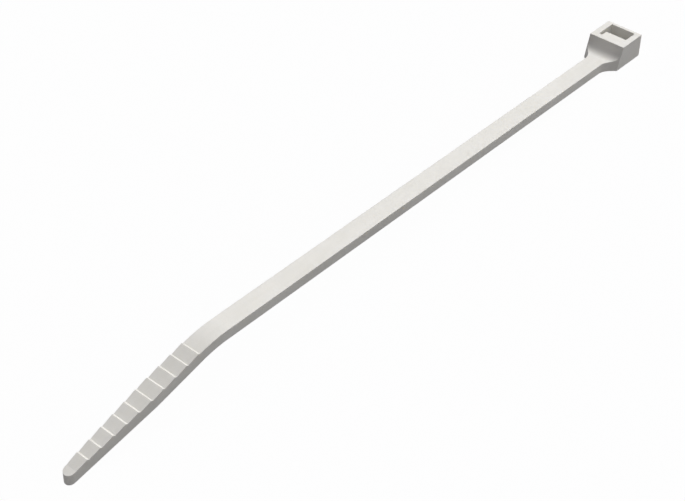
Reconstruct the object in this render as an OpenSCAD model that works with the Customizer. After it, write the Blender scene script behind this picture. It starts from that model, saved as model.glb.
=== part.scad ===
// Cable tie, moulded in one piece: a ratchet head with a hinged pawl, a strap with a rack of teeth
// between two rails on its underside, and a bent tail with stepped finger grips.
// It is drawn along X, with the smooth face of the strap at z = 0 and the upper edge of the head's
// strap-side wall at x = 0. The finished tie is pitched, so that it lies on its head and its tip.

/* [Strap] */
// Width of the strap
strap_w = 2.5; // [2.2:0.1:3]
// Thickness of the strap
strap_t = 1.32; // [1.2:0.02:1.6]
// Length from the head to the start of the bend
strap_len = 75.2; // [40:0.1:160]

/* [Rack] */
// Width of the plain rail on each side of the teeth
rail_w = 0.4; // [0.3:0.05:0.6]
// Depth of the recess that holds the teeth
rack_depth = 0.45; // [0.4:0.05:0.6]
// Distance from one tooth to the next
tooth_pitch = 0.8; // [0.75:0.05:1]
// Height of a tooth above the floor of its recess
tooth_h = 0.35; // [0.25:0.05:0.4]
// Length of the flat crest of a tooth
tooth_crest = 0.1; // [0.05:0.05:0.15]
// Length of the ramp that leads each tooth through the head
tooth_ramp = 0.42; // [0.3:0.02:0.46]
// Lean of the locking flank of a tooth, in degrees
tooth_lean = 8; // [0:1:12]
// Distance from the head to the start of the rack
rack_start = 4.6; // [4:0.1:8]
// Shortest plain length between the rack and the bend
rack_end = 1.5; // [0.5:0.1:5]

/* [Head] */
// Height of the head above the smooth face of the strap
head_rise = 2.04; // [1.8:0.02:2.4]
// Lean of the strap-side wall, in degrees
head_lean = 11.3; // [0:0.1:15]
// Draft of the far wall, in degrees
far_lean = 3.5; // [2:0.5:5]
// Thickness of the strap-side wall at the top
front_wall = 0.86; // [0.7:0.02:1.2]
// Thickness of the far wall at the top
far_wall = 0.46; // [0.4:0.02:0.9]
// Thickness of each side wall
side_wall = 0.83; // [0.6:0.01:1.2]
// Free space between the strap and each side wall
slot_side = 0.58; // [0.3:0.02:0.7]
// Free space between the strap and the pawl
slot_clearance = 0.3; // [0.2:0.05:0.5]
// Chamfer where the strap enters the head
entry_lead = 0.2; // [0.1:0.05:0.25]
// Radius of the lower edge at the far end
far_edge_r = 0.25; // [0.1:0.05:0.4]

/* [Neck] */
// Radius of the fillet between the strap and the head
neck_r = 1.35; // [0.8:0.05:1.6]
// Radius of the curve by which the strap widens to the head
flare_r = 2.4; // [1.5:0.05:3]
// Angle at which the widened strap meets the head, in degrees
flare_angle = 45; // [35:1:50]
// Distance between the end of the flare and the strap-side wall
flare_gap = 0.05; // [0.03:0.01:0.1]

/* [Pawl] */
// Thickness of the pawl without its teeth
pawl_t = 1.35; // [0.9:0.01:1.5]
// Gap behind the pawl, into which it bends
pawl_gap = 0.35; // [0.25:0.05:0.5]
// Gap on each side of the pawl
pawl_side_gap = 0.2; // [0.15:0.05:0.3]
// Depth of the pawl's free end below the top of the head
pawl_drop = 0.32; // [0.2:0.02:0.5]
// Slope of the pawl's free end, in degrees
pawl_slope = 4; // [0:1:10]
// Height of the pawl's hinge above the underside of the head
hinge_up = 0.6; // [0.4:0.05:0.7]
// Thickness of the pawl's hinge
hinge_t = 0.5; // [0.4:0.05:0.6]
// Rise of the slanted guide face under the pawl
guide_rise = 0.4; // [0.2:0.05:0.5]

/* [Tail] */
// Angle by which the tail bends down, in degrees
bend_angle = 15.2; // [8:0.1:20]
// Radius of the bend at the smooth face
bend_r = 16; // [8:0.5:30]
// Number of finger grips
grip_count = 10; // [6:1:12]
// Length of one finger grip
grip_pitch = 1.77; // [1.4:0.01:2.2]
// Height of the step of a finger grip
grip_h = 0.18; // [0.1:0.02:0.3]
// Length of the slanted face of a step
grip_riser = 0.19; // [0.15:0.01:0.4]
// Length of full width between the bend and the taper
taper_start = 6.5; // [2:0.1:8]
// Length of the plain tip beyond the last grip
tip_len = 0.98; // [0.7:0.02:2]
// Width of the rounded tip
tip_w = 1.4; // [1:0.02:1.6]

/* [Hidden] */
$fn = 96;
// Margin by which a cutting or blending shape runs past what it meets
over = 1;
// Share of its radius at which a round face crosses a flat one, a little short of touching it
meet = 0.998;

slot_w = strap_w + 2 * slot_side;
head_w = slot_w + 2 * side_wall;
pawl_w = slot_w - 2 * pawl_side_gap;

// Places along X in the head
pawl_back_x = front_wall + pawl_gap;
pawl_face_x = pawl_back_x + pawl_t;
slot_far_x = pawl_face_x + strap_t + slot_clearance;
head_far_x = slot_far_x + far_wall;

// Centre of the rounded lower edge, between the underside and the drafted far wall
far_edge_z = -strap_t + far_edge_r;
far_edge_x = head_far_x + (head_rise - far_edge_z) * tan(far_lean) - meet * far_edge_r;

// Fillet that blends the smooth face into the leaning wall
neck_x = ((neck_r - head_rise) * sin(head_lean) - meet * neck_r) / cos(head_lean);

// Curve by which the strap widens, and the straight stretch after it, measured square to the
// strap-side wall
widening = (head_w - strap_w) / 2;
widening_r = min(flare_r, 0.9 * widening / (1 - cos(flare_angle)));
flare_end_y = strap_w / 2 + widening_r * (1 - cos(flare_angle));
flare_end_x = -flare_gap - (head_w / 2 - flare_end_y) / tan(flare_angle);
flare_x = flare_end_x - widening_r * sin(flare_angle);
flare_cut_r = widening_r / meet;

// Rack of teeth
rack_x = -rack_start;
rack_root_z = -strap_t + rack_depth;
rack_crest_z = rack_root_z - tooth_h;
tooth_flank = tooth_h * tan(tooth_lean);
tooth_root = tooth_pitch - tooth_flank - tooth_crest - tooth_ramp;
tooth_count = floor((strap_len - rack_start - rack_end) / tooth_pitch);

// Pawl
pawl_top_z = head_rise - pawl_drop;
pawl_edge_z = pawl_top_z - pawl_t * tan(pawl_slope);
hinge_z = -strap_t + hinge_up;
guide_z = hinge_z + guide_rise;
pawl_teeth = floor((pawl_edge_z - guide_z) / tooth_pitch);

// Tail, measured along its smooth plane from the end of the bend
bend_x = -strap_len;
tail_len = grip_count * grip_pitch + tip_len;
tail_x = bend_x - bend_r * sin(bend_angle);
taper_x = tail_x - taper_start * cos(bend_angle);
tip_x = tail_x - tail_len * cos(bend_angle);
tip_r = tip_w / 2;
tip_centre_x = tip_x + tip_r;
taper_slope = (strap_w / 2 - meet * tip_r) / (taper_x - tip_centre_x);

// Depth by which the hollow side of the bend cuts into the flat faces beside it
bend_dip = 0.01;

// Lower end of the tip, on the underside of the tail
under_x = bend_x - (bend_r - strap_t) * sin(bend_angle);
under_z = -bend_r + (bend_r - strap_t) * cos(bend_angle);
foot_z = under_z - (under_x - tip_x) * tan(bend_angle);

// Line under the tie that touches the tip and the rounded lower edge of the head
edge_dx = far_edge_x - tip_x;
edge_dz = far_edge_z - foot_z;
rest_pitch = atan2(edge_dz, edge_dx) - asin(far_edge_r / norm([edge_dx, edge_dz]));

// Ends of the pitched tie, which place it with its middle over the origin
tip_end_x = tip_x * cos(rest_pitch) + foot_z * sin(rest_pitch);
head_end_x = max(
    head_far_x * cos(rest_pitch) + head_rise * sin(rest_pitch),
    far_edge_x * cos(rest_pitch) + far_edge_z * sin(rest_pitch) + far_edge_r
);
rest_z = tip_x * sin(rest_pitch) - foot_z * cos(rest_pitch);

// Stands a profile drawn in X and Z upright and gives it a width along Y
module across(width) {
    rotate([90, 0, 0])
        linear_extrude(height = width, center = true)
            children();
}

// Sector of a disc between two angles, up to half a turn apart
module pie(r, from, to) {
    intersection() {
        circle(r = r);
        polygon([
            [0, 0],
            2 * r * [cos(from), sin(from)],
            2 * r * [cos((from + to) / 2), sin((from + to) / 2)],
            2 * r * [cos(to), sin(to)],
        ]);
    }
}

// Point at a distance from the centre of the bend, turned by an angle from the smooth face of the strap
function around_bend(distance, angle) =
    [bend_x - distance * sin(angle), -bend_r + distance * cos(angle)];

// Point on the tail: its distance along the smooth plane from the bend, and its height above that plane
function on_tail(along, height) =
    around_bend(bend_r + height, bend_angle) - along * [cos(bend_angle), sin(bend_angle)];

// Side view of the whole tie, with a chord in place of each round stretch
module side_chords() {
    grips = [
        for (i = [0 : grip_count - 1])
            each [
                on_tail(i * grip_pitch, 0),
                on_tail(i * grip_pitch + grip_riser, grip_h),
            ]
    ];
    polygon(concat(
        [
            [far_edge_x, -strap_t],
            [far_edge_x + meet * far_edge_r, far_edge_z],
            [head_far_x, head_rise],
            [0, head_rise],
            [neck_x, neck_r] + meet * neck_r * [cos(head_lean), -sin(head_lean)],
            [neck_x, 0],
            [bend_x, 0],
        ],
        grips,
        [
            on_tail(grip_count * grip_pitch, 0),
            on_tail(tail_len + over, 0),
            on_tail(tail_len + over, -strap_t),
            on_tail(0, -strap_t),
            [bend_x, -strap_t],
        ]
    ));
}

// Side view of the whole tie
module side_profile() {
    difference() {
        union() {
            side_chords();
            translate([bend_x, -bend_r])
                difference() {
                    pie(bend_r, 90, 90 + bend_angle);
                    circle(r = bend_r - strap_t / 2);
                }
            translate([far_edge_x, far_edge_z])
                pie(far_edge_r, -90, 45);
        }
        translate([bend_x, -bend_r])
            pie(bend_r - strap_t + bend_dip, 90 - bend_angle, 90 + 2 * bend_angle);
        translate([neck_x, neck_r])
            pie(neck_r, -90, 45);
    }
}

// Plan view of the tie without its flare: the head's width narrows at once to the tapered tail
module plan_profile() {
    half = [
        [tip_centre_x, meet * tip_r],
        [taper_x + over, strap_w / 2 + over * taper_slope],
        [taper_x + over, head_w / 2],
        [head_far_x + over, head_w / 2],
    ];
    translate([tip_centre_x, 0])
        circle(r = tip_r);
    polygon(concat(half, [for (i = [len(half) - 1 : -1 : 0]) [half[i][0], -half[i][1]]]));
}

// Space beside the strap and its flare, which leans with the strap-side wall
module beside_strap() {
    depth = (head_rise - foot_z) * cos(head_lean) - tip_x * sin(head_lean) + over;
    translate([0, 0, head_rise])
        rotate([0, head_lean, 0])
            translate([0, 0, -depth])
                linear_extrude(height = depth + over) {
                    polygon([
                        [tip_x, strap_w / 2],
                        [flare_x, strap_w / 2],
                        [flare_end_x, flare_end_y],
                        [-flare_gap + over / tan(flare_angle), head_w / 2 + over],
                        [tip_x, head_w / 2 + over],
                    ]);
                    translate([flare_x, strap_w / 2 + flare_cut_r])
                        pie(flare_cut_r, -90, 0);
                }
}

// Sawtooth recess in the underside: the locking flank of each tooth faces the head
module rack() {
    teeth = [
        for (i = [0 : tooth_count - 1])
            let (x = rack_x - i * tooth_pitch - tooth_root)
                each [
                    [x, rack_root_z],
                    [x - tooth_flank, rack_crest_z],
                    [x - tooth_flank - tooth_crest, rack_crest_z],
                    [x - tooth_flank - tooth_crest - tooth_ramp, rack_root_z],
                ]
    ];
    across(strap_w - 2 * rail_w)
        polygon(concat(
            [[rack_x, -strap_t - over], [rack_x, rack_root_z]],
            teeth,
            [[rack_x - tooth_count * tooth_pitch, -strap_t - over]]
        ));
}

// Slot through the head, with a chamfer on three sides where the strap enters
module slot() {
    lead_w = slot_w + 2 * entry_lead;
    translate([front_wall, -slot_w / 2, -strap_t - over])
        cube([slot_far_x - front_wall, slot_w, head_rise + strap_t + 2 * over]);
    intersection() {
        across(lead_w)
            polygon([
                [front_wall, -strap_t - over],
                [front_wall, -strap_t + entry_lead],
                [slot_far_x, -strap_t + entry_lead],
                [slot_far_x + entry_lead, -strap_t],
                [slot_far_x + entry_lead, -strap_t - over],
            ]);
        rotate([90, 0, 90])
            linear_extrude(height = head_far_x)
                polygon([
                    [-lead_w / 2, -strap_t - over],
                    [-lead_w / 2, -strap_t],
                    [-slot_w / 2, -strap_t + entry_lead],
                    [slot_w / 2, -strap_t + entry_lead],
                    [lead_w / 2, -strap_t],
                    [lead_w / 2, -strap_t - over],
                ]);
    }
}

// Pawl on its hinge: its teeth face the far wall and lock on their upper flanks
module pawl() {
    teeth = [
        for (i = [0 : pawl_teeth - 1])
            let (z = guide_z + i * tooth_pitch + tooth_root)
                each [
                    [pawl_face_x, z],
                    [pawl_face_x + tooth_h, z + tooth_ramp],
                    [pawl_face_x + tooth_h, z + tooth_ramp + tooth_crest],
                    [pawl_face_x, z + tooth_ramp + tooth_crest + tooth_flank],
                ]
    ];
    across(pawl_w)
        difference() {
            polygon(concat(
                [
                    [front_wall / 2, hinge_z + hinge_t + pawl_gap / 2],
                    [front_wall / 2, hinge_z],
                    [pawl_back_x, hinge_z],
                    [pawl_face_x, guide_z],
                ],
                teeth,
                [
                    [pawl_face_x, pawl_edge_z],
                    [pawl_back_x, pawl_top_z],
                    [pawl_back_x, hinge_z + hinge_t + pawl_gap / 2],
                ]
            ));
            translate([front_wall + pawl_gap / 2, hinge_z + hinge_t + pawl_gap / 2])
                circle(d = pawl_gap);
        }
}

module cable_tie() {
    color([0.90, 0.89, 0.86])
        translate([-(tip_end_x + head_end_x) / 2, 0, rest_z])
            rotate([0, rest_pitch, 0]) {
                difference() {
                    intersection() {
                        across(head_w + 2 * over)
                            side_profile();
                        translate([0, 0, foot_z - over])
                            linear_extrude(height = head_rise - foot_z + 2 * over)
                                plan_profile();
                    }
                    beside_strap();
                    mirror([0, 1, 0])
                        beside_strap();
                    slot();
                    rack();
                }
                pawl();
            }
}

cable_tie();
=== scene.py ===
"""Cable tie: the CAD part in natural nylon on a pale floor, seen from the photograph's viewpoint."""
import math

import bpy
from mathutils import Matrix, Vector

# Camera: the place and turn were fitted to the photograph, with its centre on the optical axis
PHOTO_WIDTH_PX = 685.0
FOCAL_LENGTH_PX = 1500.0
SENSOR_MM = 36.0
CAMERA_PLACE_M = (-0.1066669, -0.0840588, 0.1176098)
CAMERA_TURN = (0.843551, -0.00106, -0.861562)
CLIP_START_M = 0.005
CLIP_END_M = 10.0

# Nylon's colour: it varies between two tones, as a mix of clouds and streaks
DARK_TONE = (0.76, 0.745, 0.688, 1.0)
LIGHT_TONE = (0.80, 0.785, 0.735, 1.0)
TONE_SPAN = (0.36, 0.64)
CLOUD_SCALE = 260.0
CLOUD_SHARE = 0.65
FLOW_SCALE = 2200.0
FLOW_SHARE = 0.35
FLOW_STRETCH = (0.06, 1.0, 1.0)

# Nylon's surface: a moulded skin with a finer grain, and edges that the shading softens
SKIN_SCALE = 1500.0
SKIN_DEPTH_M = 0.00002
SKIN_STRENGTH = 0.45
GRAIN_SCALE = 9000.0
GRAIN_DEPTH_M = 0.00001
GRAIN_STRENGTH = 0.7
SOFT_EDGE_M = 0.00004
SOFT_EDGE_SAMPLES = 8
NOISE_SPAN = (0.3, 0.7)
SKIN_ROUGHNESS = (0.39, 0.52)
FLOW_ROUGHNESS = (0.0, 0.09)
NYLON_IOR = 1.53
SUBSURFACE_WEIGHT = 0.2
SUBSURFACE_RADIUS = (1.0, 0.95, 0.85)
SUBSURFACE_SCALE_M = 0.0006

# Floor and world: a white background where they are seen, and plain light elsewhere
WHITE = (1.0, 1.0, 1.0, 1.0)
FLOOR_HALF_M = 1.5
FLOOR_GLOW_SHARE = 0.9
SEEN_FLOOR = (0.98, 0.98, 0.98, 1.0)
UNSEEN_FLOOR = (0.16, 0.16, 0.16, 1.0)
AMBIENT_COLOUR = (0.985, 0.965, 1.045, 1.0)
AMBIENT_STRENGTH = 0.23

# Lamps: name, strength, angular size in degrees, direction that the light comes from
LAMPS = (
    ("key", 2.65, 30, (0.629, 0.0, 0.777)),
    ("front", 0.3, 60, (-0.15, -1.0, 0.2)),
)
LAMP_BOUNCES = 1

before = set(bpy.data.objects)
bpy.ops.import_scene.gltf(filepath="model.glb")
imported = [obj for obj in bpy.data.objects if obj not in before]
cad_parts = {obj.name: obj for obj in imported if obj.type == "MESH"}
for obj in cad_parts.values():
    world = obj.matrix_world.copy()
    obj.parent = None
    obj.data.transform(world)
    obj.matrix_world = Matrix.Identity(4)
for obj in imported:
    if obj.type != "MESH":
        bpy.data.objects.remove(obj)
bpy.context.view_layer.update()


scene = bpy.context.scene
scene.view_settings.view_transform = "Standard"


def add_camera():
    """The photograph's viewpoint."""
    data = bpy.data.cameras.new("camera")
    data.sensor_width = SENSOR_MM
    data.lens = SENSOR_MM * FOCAL_LENGTH_PX / PHOTO_WIDTH_PX
    data.clip_start = CLIP_START_M
    data.clip_end = CLIP_END_M
    camera = bpy.data.objects.new("camera", data)
    camera.location = CAMERA_PLACE_M
    camera.rotation_euler = CAMERA_TURN
    scene.collection.objects.link(camera)
    scene.camera = camera


class Nodes:
    """Short forms for building a node tree."""

    def __init__(self, tree):
        self.tree = tree
        tree.nodes.clear()

    def add(self, kind, **values):
        """A new node; each value goes to the input of that name, or else to the node's own property."""
        node = self.tree.nodes.new(kind)
        for name, value in values.items():
            if name in node.inputs:
                node.inputs[name].default_value = value
            else:
                setattr(node, name, value)
        return node

    def link(self, source, target):
        self.tree.links.new(source, target)

    def math(self, operation, first, second):
        """Each operand is a number or another node's output."""
        node = self.add("ShaderNodeMath", operation=operation)
        for socket, value in zip(node.inputs, (first, second)):
            if isinstance(value, (int, float)):
                socket.default_value = value
            else:
                self.link(value, socket)
        return node.outputs[0]

    def noise(self, coords, scale, detail, roughness=0.5):
        node = self.add("ShaderNodeTexNoise", Scale=scale, Detail=detail, Roughness=roughness)
        self.link(coords, node.inputs["Vector"])
        return node.outputs["Fac"]

    def ramp(self, value, source, target):
        """Maps the source span to the target span and clamps to it."""
        node = self.add("ShaderNodeMapRange")
        for name, number in zip(("From Min", "From Max", "To Min", "To Max"), source + target):
            node.inputs[name].default_value = number
        self.link(value, node.inputs["Value"])
        return node.outputs["Result"]

    def bump(self, height, normal, strength, distance):
        node = self.add("ShaderNodeBump", Strength=strength, Distance=distance)
        self.link(height, node.inputs["Height"])
        self.link(normal, node.inputs["Normal"])
        return node.outputs["Normal"]

    def mix_shaders(self, first, second, **values):
        """The first shader where Fac is 0, the second where it is 1."""
        node = self.add("ShaderNodeMixShader", **values)
        self.link(first.outputs[0], node.inputs[1])
        self.link(second.outputs[0], node.inputs[2])
        return node

    def background_mix(self, unseen, seen):
        """Seen for the rays that show the surroundings: from the camera, off gloss and through glass."""
        path = self.add("ShaderNodeLightPath")
        shown = self.math("MAXIMUM", path.outputs["Is Camera Ray"], path.outputs["Is Glossy Ray"])
        shown = self.math("MAXIMUM", shown, path.outputs["Is Transmission Ray"])
        both = self.mix_shaders(unseen, seen)
        self.link(shown, both.inputs["Fac"])
        return both

    def surface(self, shader, kind="ShaderNodeOutputMaterial"):
        self.link(shader.outputs[0], self.add(kind).inputs["Surface"])


def new_material(name):
    material = bpy.data.materials.new(name)
    material.use_nodes = True
    return material, Nodes(material.node_tree)


def nylon():
    """Natural nylon: milky, faintly warm and satin, with flow streaks along the strap and a moulded skin."""
    material, n = new_material("nylon")
    coords = n.add("ShaderNodeTexCoord").outputs["Object"]
    along_strap = n.add("ShaderNodeMapping", Scale=FLOW_STRETCH)
    n.link(coords, along_strap.inputs["Vector"])
    cloud = n.noise(coords, CLOUD_SCALE, 3.0)
    flow = n.noise(along_strap.outputs["Vector"], FLOW_SCALE, 3.0, 0.6)
    grain = n.noise(coords, GRAIN_SCALE, 2.0, 0.6)
    skin = n.noise(coords, SKIN_SCALE, 3.0, 0.55)

    tone = n.math("ADD", n.math("MULTIPLY", cloud, CLOUD_SHARE), n.math("MULTIPLY", flow, FLOW_SHARE))
    colour = n.add("ShaderNodeMix", data_type="RGBA")
    colour.inputs["A"].default_value = DARK_TONE
    colour.inputs["B"].default_value = LIGHT_TONE
    n.link(n.ramp(tone, TONE_SPAN, (0.0, 1.0)), colour.inputs["Factor"])

    soft_edge = n.add("ShaderNodeBevel", samples=SOFT_EDGE_SAMPLES, Radius=SOFT_EDGE_M)
    normal = n.bump(grain, soft_edge.outputs["Normal"], GRAIN_STRENGTH, GRAIN_DEPTH_M)
    normal = n.bump(skin, normal, SKIN_STRENGTH, SKIN_DEPTH_M)
    skin_roughness = n.ramp(skin, NOISE_SPAN, SKIN_ROUGHNESS)
    flow_roughness = n.ramp(flow, NOISE_SPAN, FLOW_ROUGHNESS)
    roughness = n.math("ADD", skin_roughness, flow_roughness)

    shader = n.add("ShaderNodeBsdfPrincipled")
    n.link(colour.outputs["Result"], shader.inputs["Base Color"])
    n.link(roughness, shader.inputs["Roughness"])
    n.link(normal, shader.inputs["Normal"])
    shader.inputs["IOR"].default_value = NYLON_IOR
    shader.inputs["Subsurface Weight"].default_value = SUBSURFACE_WEIGHT
    shader.inputs["Subsurface Radius"].default_value = SUBSURFACE_RADIUS
    shader.inputs["Subsurface Scale"].default_value = SUBSURFACE_SCALE_M
    n.surface(shader)
    return material


def add_floor():
    """White where it is seen, with the tie's faint shadow, and darker for the light that bounces off it."""
    mesh = bpy.data.meshes.new("floor")
    half = FLOOR_HALF_M
    corners = [(-half, -half, 0), (half, -half, 0), (half, half, 0), (-half, half, 0)]
    mesh.from_pydata(corners, [], [(0, 1, 2, 3)])
    floor = bpy.data.objects.new("floor", mesh)
    scene.collection.objects.link(floor)
    material, n = new_material("floor")
    diffuse = n.add("ShaderNodeBsdfDiffuse", Color=SEEN_FLOOR)
    glow = n.add("ShaderNodeEmission", Color=WHITE, Strength=1.0)
    seen = n.mix_shaders(diffuse, glow, Fac=FLOOR_GLOW_SHARE)
    unseen = n.add("ShaderNodeBsdfDiffuse", Color=UNSEEN_FLOOR)
    n.surface(n.background_mix(unseen, seen))
    floor.data.materials.append(material)


def add_world():
    world = bpy.data.worlds.new("world")
    scene.world = world
    world.use_nodes = True
    n = Nodes(world.node_tree)
    ambient = n.add("ShaderNodeBackground", Color=AMBIENT_COLOUR, Strength=AMBIENT_STRENGTH)
    backdrop = n.add("ShaderNodeBackground", Color=WHITE, Strength=1.0)
    n.surface(n.background_mix(ambient, backdrop), "ShaderNodeOutputWorld")


def add_sun(name, strength, degrees, toward):
    """A soft sun without a shadow. Its light bounces once, so that the slot stays dark inside."""
    data = bpy.data.lights.new(name, "SUN")
    data.energy = strength
    data.angle = math.radians(degrees)
    data.use_shadow = False
    data.cycles.max_bounces = LAMP_BOUNCES
    lamp = bpy.data.objects.new(name, data)
    lamp.rotation_euler = Vector(toward).to_track_quat("Z", "Y").to_euler()
    scene.collection.objects.link(lamp)


add_camera()
add_world()
add_floor()
for lamp_values in LAMPS:
    add_sun(*lamp_values)

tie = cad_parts["cable_tie"]
tie.data.materials.clear()
tie.data.materials.append(nylon())
